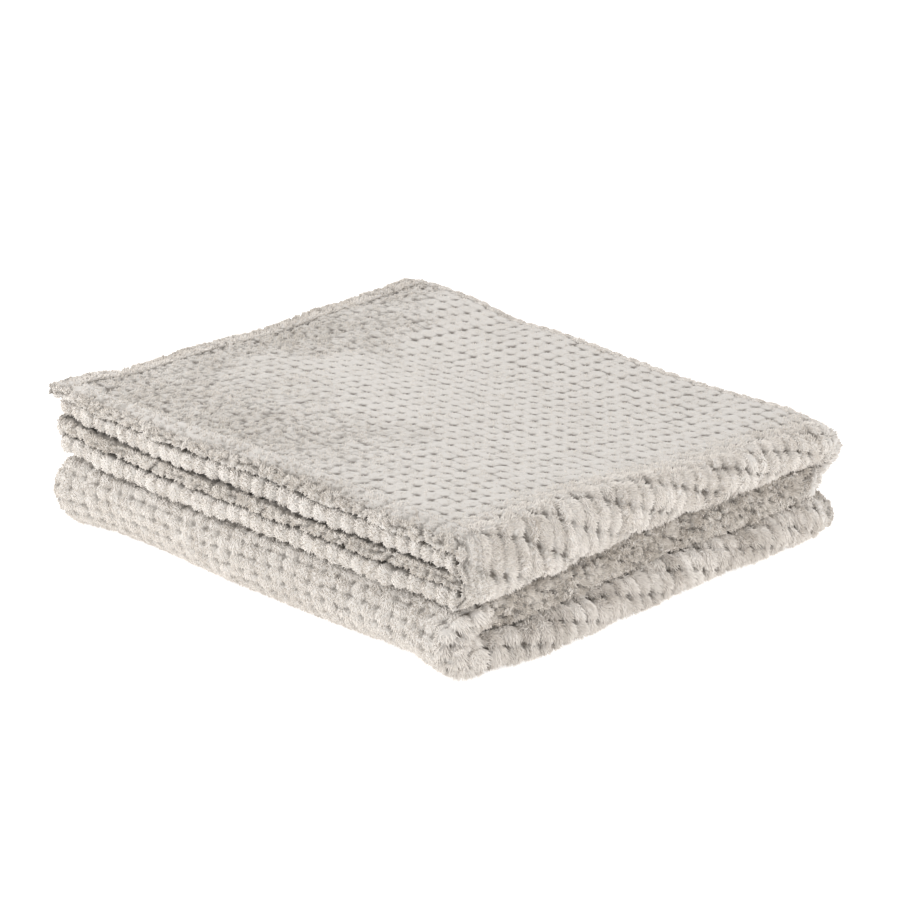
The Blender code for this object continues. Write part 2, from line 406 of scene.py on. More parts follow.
class Value:
    """A shader socket that takes part in sums; each sum adds its Math node."""

    def __init__(self, tree, socket):
        self.tree = tree
        self.socket = socket

    def sum(self, operation, *values):
        return add_node(self.tree, "ShaderNodeMath", {"operation": operation}, *values)

    def __add__(self, other):
        return self.sum("ADD", self, other)

    def __sub__(self, other):
        return self.sum("SUBTRACT", self, other)

    def __rsub__(self, other):
        return self.sum("SUBTRACT", other, self)

    def __mul__(self, other):
        return self.sum("MULTIPLY", self, other)


def add_node(tree, kind, settings, *values, out=0, **named):
    """Any node: its settings first, then its sockets by place or by name, and the output that is wanted."""
    node = tree.nodes.new(kind)
    for name, value in settings.items():
        setattr(node, name, value)
    pairs = [pair for pair in enumerate(values) if pair[1] is not None]
    pairs += [(name.replace("_", " "), value) for name, value in named.items()]
    for key, value in pairs:
        if isinstance(value, Value):
            tree.links.new(value.socket, node.inputs[key])
        else:
            node.inputs[key].default_value = value
    return Value(tree, node.outputs[out])


def mixed(tree, factor, first, second):
    """Two colours mixed by a factor."""
    node = tree.nodes.new("ShaderNodeMix")
    node.data_type = "RGBA"
    for place, value in ((0, factor), (6, first), (7, second)):
        if isinstance(value, Value):
            tree.links.new(value.socket, node.inputs[place])
        else:
            node.inputs[place].default_value = (*value, 1.0)
    return Value(tree, node.outputs[2])


def new_material(name, **settings):
    """A material's tree and shader, with the shader's sockets set by name."""
    material = bpy.data.materials.new(name)
    material.use_nodes = True
    tree = material.node_tree
    shader = tree.nodes["Principled BSDF"]
    for socket, value in settings.items():
        shader.inputs[socket.replace("_", " ")].default_value = value
    return material, tree, shader


def plush_material(name, light, root, relief):
    """Chenille: pale on the crowns, with painted shade in the hollows and at the strands' roots, and cloudy
    colour.
    """
    colors = bpy.context.scene.throw_colors
    pale, taupe, hollow = (
        tuple(light * part for part in color) for color in (colors.pale, colors.taupe, colors.hollow)
    )
    material, tree, shader = new_material(
        name, Roughness=0.95, Specular_IOR_Level=0.15, Sheen_Weight=0.25, Sheen_Roughness=0.5
    )
    place = add_node(tree, "ShaderNodeTexCoord", {}, out="Object")
    marks = {
        mark: add_node(tree, "ShaderNodeAttribute", {"attribute_name": mark}, out="Fac")
        for mark in ("hollow", "tone", "tip", "shade")
    }
    cloud = add_node(tree, "ShaderNodeTexNoise", {}, Vector=place, Scale=24.0, Detail=3.0)
    fleck = add_node(tree, "ShaderNodeTexNoise", {}, Vector=place, Scale=430.0, Detail=3.0)
    color = mixed(tree, marks["tone"] + (cloud - 0.5) * 0.9 + (marks["shade"] - 0.5) * 0.6, pale, taupe)
    # Painted shade: the hollow colour darkens the hollows between bobbles and the strands' roots; the flecks
    # are real colour.
    shade_and_fleck = marks["hollow"] * 0.80 + (fleck - 0.5) * 0.25 + (1 - marks["tip"]) * root
    color = mixed(tree, shade_and_fleck, color, hollow)
    tree.links.new(color.socket, shader.inputs["Base Color"])
    if relief:
        fibre = add_node(
            tree, "ShaderNodeTexNoise", {}, Vector=place, Scale=900.0, Detail=4.0, Roughness=0.65
        )
        height = fibre + fleck * 0.8
        bump = add_node(
            tree, "ShaderNodeBump", {}, Strength=0.55, Distance=relief, Height=height, out="Normal"
        )
        tree.links.new(bump.socket, shader.inputs["Normal"])
    return material


def thread_material(color):
    """Polyester sewing thread: two plies twisted together."""
    material, tree, shader = new_material("sewing_thread", Roughness=0.6)
    place = add_node(tree, "ShaderNodeTexCoord", {}, out="Object")
    twist = add_node(
        tree, "ShaderNodeTexWave", {"bands_direction": "DIAGONAL"}, Vector=place, Scale=420.0, out="Fac"
    )
    # Painted shade: darker diagonal bands stand for the grooves between the twisted plies.
    shaded = mixed(tree, twist * 0.5, tuple(color), (0.30, 0.27, 0.24))
    tree.links.new(shaded.socket, shader.inputs["Base Color"])
    return material


# ---------------------------------------------------------------- what is repeated over the cloth


def new_tree(name, **inputs):
    """An empty Geometry Nodes tree with its named inputs, as values."""
    tree = bpy.data.node_groups.new(name, "GeometryNodeTree")
    for label, kind in inputs.items():
        label = label.replace("_", " ")
        tree.interface.new_socket(name=label, in_out="INPUT", socket_type="NodeSocket" + kind)
    tree.interface.new_socket(name="Result", in_out="OUTPUT", socket_type="NodeSocketGeometry")
    source = tree.nodes.new("NodeGroupInput")
    return tree, [Value(tree, socket) for socket in source.outputs[: len(inputs)]]


def end_tree(tree, result, material):
    """Turns the instances into faces and gives them their material."""
    faces = add_node(tree, "GeometryNodeRealizeInstances", {}, Geometry=result)
    dyed = add_node(tree, "GeometryNodeSetMaterial", {}, Geometry=faces, Material=material)
    tree.links.new(dyed.socket, tree.nodes.new("NodeGroupOutput").inputs["Result"])
    return tree


def random_number(tree, low, high, seed):
    settings = {"data_type": "FLOAT"}
    return add_node(tree, "FunctionNodeRandomValue", settings, None, None, low, high, Seed=seed, out=1)


def mark_of(tree, name, kind="FLOAT"):
    return add_node(tree, "GeometryNodeInputNamedAttribute", {"data_type": kind}, Name=name)


def marked(tree, geometry, domain, name, value):
    """Geometry with a number kept on it under a name."""
    settings = {"data_type": "FLOAT", "domain": domain}
    return add_node(
        tree, "GeometryNodeStoreNamedAttribute", settings, Geometry=geometry, Name=name, Value=value
    )


def vector_sum(tree, operation, *values, **named):
    return add_node(tree, "ShaderNodeVectorMath", {"operation": operation}, *values, **named)


def turned_to(tree, vector):
    """The turn that points an instance's Z the way of a vector."""
    return add_node(tree, "FunctionNodeAlignRotationToVector", {"axis": "Z"}, Vector=vector)


def strand_tree():
    """Sows pointed strands over the cloth, each combed the way the cloth's marks say."""
    tree, (cloth, sown, length, width, seed, material) = new_tree(
        "brushed_strands",
        Cloth="Geometry",
        Strands_per_square_metre="Float",
        Strand_length="Float",
        Strand_width="Float",
        Seed="Int",
        Material="Material",
    )
    points = add_node(
        tree,
        "GeometryNodeDistributePointsOnFaces",
        {"distribute_method": "RANDOM"},
        Mesh=cloth,
        Density=sown * mark_of(tree, "cover") * (1 - mark_of(tree, "hollow") * 0.9),
        Seed=seed,
    )
    normal = Value(tree, points.socket.node.outputs["Normal"])
    strand = add_node(
        tree,
        "GeometryNodeMeshCone",
        {"fill_type": "NGON"},
        Vertices=3,
        Side_Segments=1,
        Radius_Top=0.0,
        Radius_Bottom=width,
        Depth=length,
    )
    place = add_node(tree, "GeometryNodeInputPosition", {})
    height = add_node(tree, "ShaderNodeSeparateXYZ", {}, Vector=place, out="Z")
    at_tip = add_node(tree, "ShaderNodeMath", {"operation": "GREATER_THAN"}, height, 1e-5)
    strand = marked(tree, strand, "POINT", "tip", at_tip)
    wild = add_node(
        tree,
        "FunctionNodeRandomValue",
        {"data_type": "FLOAT_VECTOR"},
        (-1.0, -1.0, -1.0),
        (1.0, 1.0, 1.0),
        Seed=seed,
    )
    wild = vector_sum(tree, "SCALE", wild, Scale=mark_of(tree, "ruffle"))
    lean = vector_sum(tree, "ADD", mark_of(tree, "comb", "FLOAT_VECTOR"), wild)
    turned = turned_to(tree, vector_sum(tree, "ADD", normal, lean))
    tall = random_number(tree, 0.55, 1.25, seed) * mark_of(tree, "length")
    tall = tall * (1 - mark_of(tree, "hollow") * 0.6)
    size = add_node(tree, "ShaderNodeCombineXYZ", {}, 1.0, 1.0, tall)
    strands = add_node(
        tree, "GeometryNodeInstanceOnPoints", {}, Points=points, Instance=strand, Rotation=turned, Scale=size
    )
    strands = marked(tree, strands, "INSTANCE", "shade", random_number(tree, 0.0, 1.0, seed))
    return end_tree(tree, strands, material)


def stitch_tree():
    """Lays stitches along a seam line, one after the other."""
    tree, (line, pitch, length, width, material) = new_tree(
        "seam_stitches",
        Seam="Geometry",
        Stitch_pitch="Float",
        Stitch_length="Float",
        Thread_width="Float",
        Material="Material",
    )
    curve = add_node(tree, "GeometryNodeMeshToCurve", {}, Mesh=line)
    spaced = add_node(tree, "GeometryNodeResampleCurve", {"mode": "LENGTH"}, Curve=curve, Length=pitch)
    turned = turned_to(tree, add_node(tree, "GeometryNodeInputTangent", {}))
    loop = add_node(tree, "GeometryNodeMeshUVSphere", {}, Segments=6, Rings=4, Radius=0.5)
    size = add_node(tree, "ShaderNodeCombineXYZ", {}, width, width, length)
    stitches = add_node(
        tree, "GeometryNodeInstanceOnPoints", {}, Points=spaced, Instance=loop, Rotation=turned, Scale=size
    )
    return end_tree(tree, stitches, material)


def worked_out(tree, source, name, material, **values):
    """The plain mesh that a tree makes of a source object; the modifier goes no further."""
    group = bpy.data.node_groups.get(tree.__name__) or tree()
    group.name = tree.__name__
    modifier = source.modifiers.new("work", "NODES")
    modifier.node_group = group
    for item in group.interface.items_tree:
        key = item.name.replace(" ", "_")
        if item.name == "Material":
            modifier[item.identifier] = material
        elif key in values:
            modifier[item.identifier] = values[key]
    context = bpy.context.evaluated_depsgraph_get()
    mesh = bpy.data.meshes.new_from_object(source.evaluated_get(context))
    source.modifiers.remove(modifier)
    mesh.name = name
    return add_to_scene(name, mesh)


# A strand is a cone of four points: its tip comes first, and its foot is the side without it.
STRAND_POINTS = 4
STRAND_SIDES = 4
STRAND_MAP = np.array(((0.30, 0.35), (0.05, 0.05), (0.85, 0.05), (0.05, 0.95)))
FLOOR_GAP = 0.0002


def strand_map(mesh):
    """Gives every strand its own small cell of the map, with its foot in a corner of the cell."""
    across = math.ceil(math.sqrt(len(mesh.polygons) // STRAND_SIDES))
    vertex = np.empty(len(mesh.loops), np.int32)
    mesh.loops.foreach_get("vertex_index", vertex)
    cell = vertex // STRAND_POINTS
    corner = vertex % STRAND_POINTS
    foot = np.repeat((corner.reshape(-1, 3) > 0).all(axis=1), 3)
    spot = STRAND_MAP[corner]
    spot = np.where(foot[:, None], 0.80 + 0.15 * spot, spot)
    uv = (np.stack([cell % across, cell // across], axis=-1) + spot) / across
    layer = mesh.uv_layers.get(MAP_NAME) or mesh.uv_layers.new(name=MAP_NAME)
    layer.uv.foreach_set("vector", uv.astype(np.float32).ravel())


def keep_off_floor(mesh):
    """Lifts the strands that would reach below the floor."""
    place = np.empty(len(mesh.vertices) * 3, np.float32)
    mesh.vertices.foreach_get("co", place)
    height = place.reshape(-1, STRAND_POINTS, 3)[..., 2]
    height += np.maximum(FLOOR_GAP - height.min(axis=1), 0.0)[:, None]
    mesh.vertices.foreach_set("co", place)
    mesh.update()


def sow(cloth, name, strands, width, seed):
    """Makes one piece of brushed pile on a piece of cloth."""
    z = sizes()
    mesh = cloth.data
    cover = np.empty(len(mesh.vertices), np.float32)
    mesh.attributes["cover"].data.foreach_get("value", cover)
    area = 0.0
    for polygon in mesh.polygons:
        corners = polygon.vertices
        if len(corners) == 4:
            area += polygon.area * float(cover[list(corners)].mean())
    pile = worked_out(
        strand_tree,
        cloth,
        name,
        pile_material(),
        Strands_per_square_metre=strands / area,
        Strand_length=z.strand_length,
        Strand_width=z.strand_width * width / 2,
        Seed=seed,
    )
    keep_off_floor(pile.data)
    strand_map(pile.data)
    return pile


# ---------------------------------------------------------------- what a user may change


def length_property(name, description, default):
    return FloatProperty(name=name, description=description, default=default, unit="LENGTH")


def color_property(name, description, default):
    return FloatVectorProperty(name=name, description=description, default=default, subtype="COLOR")


class ThrowSizes(bpy.types.PropertyGroup):
    bobble_along: length_property(
        "Bobble pitch along the strip", "Distance from one column of bobbles to the next", 0.0111
    )
    bobble_across: length_property(
        "Bobble pitch across the strip", "Distance from one bobble to the next in its column", 0.0130
    )
    bobble_skew: length_property(
        "Column offset", "How far each column of bobbles is shifted against the one before", 0.0026
    )
    bobble_relief: length_property(
        "Bobble relief", "Height of a bobble's crown over the valleys beside it", 0.0021
    )
    curl_pitch: length_property(
        "Curl size", "Size of the tight curls on the hems and on crushed pile", 0.0052
    )
    curl_relief: length_property("Curl relief", "Height of the tight curls", 0.0016)
    bead_pitch: length_property(
        "Bead pitch", "Distance between the round beads along a smooth ply end", 0.0128
    )
    strand_length: length_property(
        "Strand length", "Length of an average strand of the brushed pile", 0.0034
    )
    strand_width: length_property("Strand width", "Width of a strand at its root", 0.0015)
    fine_step: length_property("Fine mesh step", "Length of a face where the cloth shows", 0.0016)


class ThrowColors(bpy.types.PropertyGroup):
    pale: color_property("Pale pile", "Colour of the brushed crowns", (0.89, 0.845, 0.795))
    taupe: color_property("Crushed pile", "Colour of pile that lies the other way", (0.62, 0.57, 0.51))
    # Painted shade: this colour is laid in the hollows between the bobbles in place of their shadow.
    hollow: color_property("Hollows", "Colour down between the bobbles", (0.27, 0.24, 0.21))
    thread: color_property("Thread", "Colour of the sewing thread", (0.55, 0.51, 0.46))


def sizes():
    return bpy.context.scene.throw_sizes


def cloth_material():
    """The ground of the cloth, made when it is first asked for. Its colours are the pile's dimmed to 0.72:
    painted shade from the pile that stands over it.
    """
    found = bpy.data.materials.get("plush_ground")
    return found or plush_material("plush_ground", light=0.72, root=0.0, relief=0.0008)


def pile_material():
    """The brushed strands, with painted shade at their roots that fades to pale at their tips."""
    found = bpy.data.materials.get("plush_pile")
    return found or plush_material("plush_pile", light=1.0, root=0.24, relief=0.0)


# ---------------------------------------------------------------- the pile's patterns


def bobbles(s, t, share, lean):
    """Relief of the bobble pattern at a share of its usual height, and the painted shade of its hollows and
    seams.
    """
    z = sizes()
    wander = 0.0016 * clouds(s / 0.05, t / 0.05, 11)
    pitch = (z.bobble_along, z.bobble_across)
    crest, seam = puffs(s + wander, t - wander, pitch, z.bobble_skew, 0.16, lean, 21)
    rise = z.bobble_relief * share * (np.minimum(crest, 0.9) - 0.9)
    # Painted shade: darkest in the holes where bobbles meet, with a thin dark line along their seams.
    dark = 1.45 * (1 - smooth(crest, -0.06, 0.35)) + 0.24 * (1 - smooth(seam, 0.0, 0.22))
    return rise, np.minimum(dark, 1.3)


def curls(s, t, share, salt):
    """Relief of tightly curled pile at a share of its usual height, and the painted shade between the curls.
    """
    z = sizes()
    pitch = (z.curl_pitch, z.curl_pitch)
    crest, _ = puffs(s, t, pitch, 0.4 * z.curl_pitch, 0.75, (0.15, 0.0), salt)
    swell = clouds(s / 0.011, t / 0.011, salt + 3)
    rise = z.curl_relief * share * (np.clip(crest, -0.4, 1.0) - 1.0 + 0.6 * (swell - 1))
    return rise, 1 - smooth(crest, -0.15, 0.45)


def bobbled(share, lean):
    return lambda s, t: bobbles(s, t, share, lean)


def swirl(s, t):
    """How the strands of one tuft lean together, and away from those of the next."""
    u, v = s / 0.0085, t / 0.0085
    return np.stack([clouds(u, v, salt) for salt in (81, 82, 83)], axis=-1)


def brushed(points):
    """How ruffled the top is: most along its hemmed side, and less by its end hem."""
    x, y = points[..., 0], points[..., 1]
    patch = clouds(x / 0.05, y / 0.05, 91) + 0.5 * clouds(x / 0.017, y / 0.017, 92) - 0.7
    by_side = smooth(y + 0.05 * patch, 0.08, 0.19)
    by_end = 1 - smooth(x + 0.03 * patch, -TURN_LINE, -TURN_LINE + 0.12)
    by_end = 0.9 * by_end * smooth(y, -0.16, 0.10)
    return np.clip(np.maximum(by_side, by_end), 0.0, 1.0)


def drape(points):
    """How near the top is to its outer fold, where the pile grows longer."""
    return 1 - smooth(points[..., 1], FRONT_LINE - 0.005, FRONT_LINE + 0.030)


LEVEL_LEAN = (-0.2, 0.15)


def crown_pile(s, t):
    """The top's bobbles, which break up into curls where it is brushed."""
    ruffled = 0.75 * brushed(np.stack([s + TURN_LINE, FRONT_LINE - t], axis=-1))
    rise, dark = bobbles(s, t, 0.85, LEVEL_LEAN)
    curl, gap_shade = curls(s, t, 1.3, 35)
    return rise + (curl - rise) * ruffled, dark + (1.9 * gap_shade - dark) * ruffled


def drawn_in(s, t):
    """A turn's bobbles, drawn closer together."""
    return bobbles(s * 1.1, t * 0.95 + 0.4 * s, 1.2, LEVEL_LEAN)


STAND = 0.0008

# How the pile looks on each face of the cloth. Room is how far it stands off the pressed cloth, and shade
# scales the painted shade in the hollows. Tone runs from pale to crushed. Cover, length and ruffle are the
# strands' number, height and disorder. Swirl parts them into tufts, and comb leans them all one way.
STYLES = {
    # The open top face: short pile, combed one way, and ruffled along its hemmed side.
    "crown": dict(
        pile=crown_pile, room=STAND,
        tone=lambda points: 0.28 + 0.30 * brushed(points) - 0.28 * drape(points),
        cover=lambda points: 0.08 + 0.10 * brushed(points) + 0.35 * drape(points),
        length=lambda points: 0.30 + 0.35 * brushed(points) + 0.5 * drape(points), ruffle=0.50,
        swirl=0.9, comb=(0.7, 0.2, 0.0),
    ),
    # The outer fold of the top panel: plump tufts that hang over it.
    "lip": dict(
        pile=bobbled(2.2, (-0.1, 0.25)), room=STAND + 0.0004, cover=0.45, length=0.85, ruffle=0.35,
        swirl=1.1, comb=(0.3, -0.1, -0.35),
    ),
    # The outer fold of the middle panel: crushed into small curls, and darker.
    "crushed": dict(
        pile=lambda s, t: curls(s, t, 1.6, 31), room=STAND, tone=0.60, cover=1.0, length=0.80,
        ruffle=0.7, swirl=1.5,
    ),
    # The outer fold of the bottom panel: long pile that hangs to the floor.
    "fluffy": dict(
        pile=bobbled(1.9, (0.0, -0.25)), room=STAND + 0.0004, tone=0.05, cover=0.9, length=1.3,
        ruffle=0.35, swirl=0.8, comb=(0.2, -0.1, -1.0),
    ),
    # The outside of a turn.
    "roll": dict(
        pile=drawn_in, room=STAND, shade=0.75, tone=0.08, cover=1.0, length=0.62, ruffle=0.35,
        swirl=0.6, comb=(0.0, -0.5, -0.6),
    ),
    # The back folds, along the hemmed side.
    "back": dict(
        pile=bobbled(0.8, (0.0, 0.2)), room=STAND / 2, tone=0.30, cover=1.0, length=0.85, ruffle=1.0,
        comb=(0.0, 0.0, -0.4),
    ),
    # Faces that show only when the throw is opened: pressed flat, with strands only where a fold begins.
    "tucked": dict(
        pile=bobbled(0.7, LEVEL_LEAN), shade=0.5, tone=0.45, length=0.6, ruffle=0.5,
        comb=(1.5, 0.3, 0.0),
    ),
}


def on_runs(run, *names):
    """Which points lie on the named runs of the section."""
    return np.isin(run, [RUNS.index(name) for name in names])


def panel_cloth(name, path, counts, styles):
    """One stretch of the folded strip, with the pile of each run in its own style."""
    is_turn = "turn" in name
    edge = HEM_EDGE - PLY / 2 if is_turn else HEM_LINE - GAP
    loop = section_loop(counts, sampling(HIDDEN_STEP), edge)
    points, normals, s, t = lay(path, loop)
    run = loop[5][None, :] + np.zeros(s.shape)
    is_right = loop[6][None, :] + np.zeros(s.shape)
    marks = {"hollow": np.full(s.shape, 0.4), "tone": np.full(s.shape, 0.4)}
    marks.update({mark: np.zeros(s.shape) for mark in ("cover", "length", "ruffle")})
    marks["comb"] = np.zeros(s.shape + (3,))
    relief = np.full(s.shape, -GAP / 2)
    for run_name, style_name in styles.items():
        style = STYLES[style_name]
        chosen = (run == RUNS.index(run_name)) & (is_right > 0)
        rise, dark = style["pile"](s[chosen], t[chosen])
        relief[chosen] = rise + style.get("room", 0.0)
        marks["hollow"][chosen] = dark * style.get("shade", 1.0)
        for mark in ("tone", "cover", "length", "ruffle", "comb"):
            value = style.get(mark, 0.0)
            marks[mark][chosen] = value(points[chosen]) if callable(value) else value
        marks["comb"][chosen] += style.get("swirl", 0.0) * swirl(s[chosen], t[chosen])
    if is_turn:
        bare = (points[..., 1] > HEM_LINE) & on_runs(run, "ply_1", "ply_2")
        # Curls along the turns' bare edges, with painted shade between them.
        rise, dark = curls(s[bare], t[bare] + points[bare][:, 2], 1.0, 45)
        relief[bare] = np.maximum(relief[bare], 0.0) + rise
        curled = {"hollow": dark * 0.8, "tone": 0.35, "cover": 0.8, "length": 0.6, "ruffle": 0.7}
        for mark, value in curled.items():
            marks[mark][bare] = value
    return grid_mesh(name, raise_pile(points, normals, relief), marks, cloth_material())


def cloth_mark(body, x):
    """The cloth length at x on the top panel or on the bottom one."""
    if body == "top":
        return x - TURN_LINE
    return 2 * TURN_LENGTH + PANEL_RUN + x + TURN_LINE


# ---------------------------------------------------------------- operators


# How flat each turn would go as its fold opens: the level that stays put, and the share of height it keeps.
# The script reads these but flattens nothing.
FLATTENING = {
    "lower": (LOWER_CREASE + TURN_RADIUS, 0.5),
    "upper": (UPPER_CREASE - TURN_RADIUS, 0.45),
}


def finish_piece(piece, body, slot, *nodes):
    """Attaches a piece to the body it rides on, hides the CAD nodes it stands for, and gives a piece on a
    turn a mesh of its own.
    """
    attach(piece, body)
    if nodes:
        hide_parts(*nodes)
    for fold, (level, kept) in FLATTENING.items():
        if fold + "_turn" in piece.name:
            fold + "_fold"
            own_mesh(piece)


def section_nodes(part):
    """The CAD nodes that a panel's or a turn's cloth stands for."""
    plies = [f"{part}_ply_{number + 1}" for number in range(PLY_COUNT)]
    return plies + [f"{part}_{side}_fold" for side in ("outer", "inner", "back")]


class THROW_OT_panels(bpy.types.Operator):
    """Make the cloth of the three panels"""

    bl_idname = "throw.panels"
    bl_label = "Panels"

    def execute(self, context):
        fine = sizes().fine_step
        top_end, bottom_end = -END_LINE + GAP, END_LINE - GAP
        top_path = level_path(top_end, TURN_LINE, TOP_LEVEL, -1, cloth_mark("top", top_end), fine)
        middle_path = level_path(TURN_LINE, -TURN_LINE, MIDDLE_LEVEL, 1, TURN_LENGTH, 0.0018)
        after_turns = 2 * TURN_LENGTH + PANEL_RUN
        bottom_path = level_path(-TURN_LINE, bottom_end, BOTTOM_LEVEL, -1, after_turns, 0.0018)
        for body, path, first_step, last_step, first_style, front_style in (
            ("top", top_path, fine, 0.0055, "crown", "lip"),
            ("middle", middle_path, 0.0028, 0.0028, "tucked", "crushed"),
            ("bottom", bottom_path, 0.0028, 0.0045, "tucked", "fluffy"),
        ):
            steps = {"ply_1": first_step, "outer_fold": FRONT_STEP, "ply_4": last_step}
            steps["back_fold"] = BACK_STEP
            styles = {"ply_1": first_style, "outer_fold": front_style, "ply_4": "tucked"}
            styles["back_fold"] = "back"
            cloth = panel_cloth(f"{body}_panel_cloth", path, sampling(HIDDEN_STEP, **steps), styles)
            finish_piece(cloth, body + "_panel", "cloth", *section_nodes(body))
        return {"FINISHED"}


class THROW_OT_turns(bpy.types.Operator):
    """Make the cloth of the two turns"""

    bl_idname = "throw.turns"
    bl_label = "Turns"

    def execute(self, context):
        step = 0.0017
        after_middle = TURN_LENGTH + PANEL_RUN
        upper_path = turn_path(TURN_LINE, 1, UPPER_CREASE, TURN_RADIUS, True, 0.0, step)
        lower_path = turn_path(-TURN_LINE, -1, LOWER_CREASE, GAP / 2, False, after_middle, step)
        for turn, path, outside, front_style in (
            ("upper_turn", upper_path, "ply_1", "lip"),
            ("lower_turn", lower_path, "ply_4", "fluffy"),
        ):
            steps = {outside: sizes().fine_step, "outer_fold": FRONT_STEP, "back_fold": BACK_STEP}
            styles = {outside: "roll", "outer_fold": front_style, "back_fold": "back"}
            cloth = panel_cloth(f"{turn}_cloth", path, sampling(HIDDEN_STEP, **steps), styles)
            finish_piece(cloth, "middle_panel", "cloth", *section_nodes(turn))
        return {"FINISHED"}


class THROW_OT_hems(bpy.types.Operator):
    """Make the end hems and the side hems"""

    bl_idname = "throw.hems"
    bl_label = "Hems"

    def execute(self, context):
        for body, line, edge, level in (
            ("top", -END_LINE, -END_EDGE, TOP_LEVEL),
            ("bottom", END_LINE, END_EDGE, BOTTOM_LEVEL),
        ):
            hem = end_hem(body, line, edge, level)
            finish_piece(hem, body + "_panel", "hem", f"{body}_end_hem")
        for body, start, end, level, up in PANELS:
            for ply in (0, 1):
                hem = side_hem(body, start, end, level, up, ply)
                finish_piece(hem, body + "_panel", "hem", f"{body}_side_hem_{ply + 1}")
        return {"FINISHED"}


def rounded_band(width, nose, steps):
    """A hem's cross-section: out along its right side, round the nose and back along the wrong side."""
    flat = width - nose
    out = np.linspace(0.0, flat, 8)[:-1]
    angle = np.linspace(math.pi / 2, -math.pi / 2, steps)
    plump = np.sign(np.sin(angle)) * np.abs(np.sin(angle)) ** 0.65
    ahead = np.concatenate([out, flat + nose * np.cos(angle) ** 0.8, out[::-1]])
    side = np.concatenate([np.full(7, 1.0), plump, np.full(7, -1.0)])
    face = np.concatenate([np.zeros(7), np.cos(angle), np.zeros(7)])
    off = side * PLY / 2
    length = np.concatenate([[0.0], np.cumsum(np.hypot(np.diff(ahead), np.diff(off)))])
    return (row[None, :] for row in (ahead, off, face, side, length))


def hem_marks(ones, s, t, hollow, tone, cover, length, face):
    """A hem's pile stands away from its edge, in tufts."""
    return {
        "hollow": hollow,
        "tone": tone * ones,
        "cover": cover * ones,
        "length": length * ones,
        "ruffle": (0.4 + 0.3 * face) * ones,
        "comb": 0.9 * swirl(s, t),
    }


def shown_side(side, face, least):
    """How much pile the side of a hem that shows has: the least on its flat, and more round its nose."""
    return np.clip(side + 1.0, 0.0, 1.0) * (least + (1 - least) * smooth(face, 0.0, 0.4))


# How far each run's free end stands out from the rest, in the order of RUNS.
EDGE_OFFSETS = (0.0015, 0.0, -0.0005, 0.0, 0.0010, 0.0, -0.0030)


def end_hem(body, line, edge, level):
    """The hem across a free end, following the sheet through all its folds."""
    z = sizes()
    section = whole_section(sampling(0.0016), HEM_EDGE - PLY / 2)
    y, depth, across, down, t, run = (row[:, None] for row in section)
    away = 1.0 if edge > line else -1.0
    ahead, off, face, side, length = rounded_band(abs(edge - line), 0.0080, 13)
    ones = np.ones_like(y * ahead)
    ragged = 0.0030 * clouds(t / 0.030, 0 * t + 2.5, 71 + int(away)) - 0.0010
    ragged = ragged + np.take(EDGE_OFFSETS, run.astype(int))
    x = line + away * (ahead + ragged * smooth(ahead, 0.0, 0.012))
    points = np.stack([x * ones, y + across * off, level - (depth + down * off)], axis=-1)
    normals = np.stack([away * face * ones, across * side, -down * side], axis=-1)
    s = cloth_mark(body, line + away * length) * ones
    cloth = t * ones
    curled, curl_dark = curls(s, cloth, 1.6, 41)
    woven, woven_dark = bobbles(s, cloth, 0.77, LEVEL_LEAN)
    woven_dark = woven_dark * 0.45
    phase = (cloth / z.bead_pitch) % 1.0 * 2 - 1
    size = 0.78 + 0.35 * scatter(np.floor(cloth / z.bead_pitch), 0 * cloth, 51)
    bead = np.sqrt(np.clip(1 - 0.92 * phase ** 2, 0, 1)) * size
    beaded = on_runs(run, "ply_4", "ply_2", "back_fold")
    outer = on_runs(run, "ply_1", "outer_fold", "back_fold")
    nose = smooth(ahead, 0.003, 0.013) * ones
    edge_relief = np.where(beaded, 0.0056 * (bead - 0.85), curled)
    # Painted shade between the beads and among the curls of the ply ends.
    edge_dark = np.where(beaded, smooth(bead, 0.50, 0.25), curl_dark)
    relief = woven + (edge_relief - woven) * nose + STAND
    tone = 0.25 + (np.where(beaded, 0.05, 0.50) - 0.25) * nose
    # Painted shade in the crevices at the sides of the hem's nose, where it meets the plies beside it.
    crevice_shade = smooth(np.abs(side), 0.80, 1.0) * nose * np.where(outer, side < 0, 1.0)
    hollow = np.maximum(woven_dark + (edge_dark - woven_dark) * nose, 1.1 * crevice_shade)
    least = np.where(on_runs(run, "ply_1"), 0.22, 0.6)
    cover = np.where(outer, shown_side(side, face, least), face > 0.05)
    cover = cover * np.where(beaded, 0.45, 0.70)
    cover[[0, -1]] = 1.0
    marks = hem_marks(ones, s, cloth, hollow, tone, cover, 0.60, face)
    return grid_mesh(f"{body}_end_hem_cloth", raise_pile(points, normals, relief), marks, cloth_material())


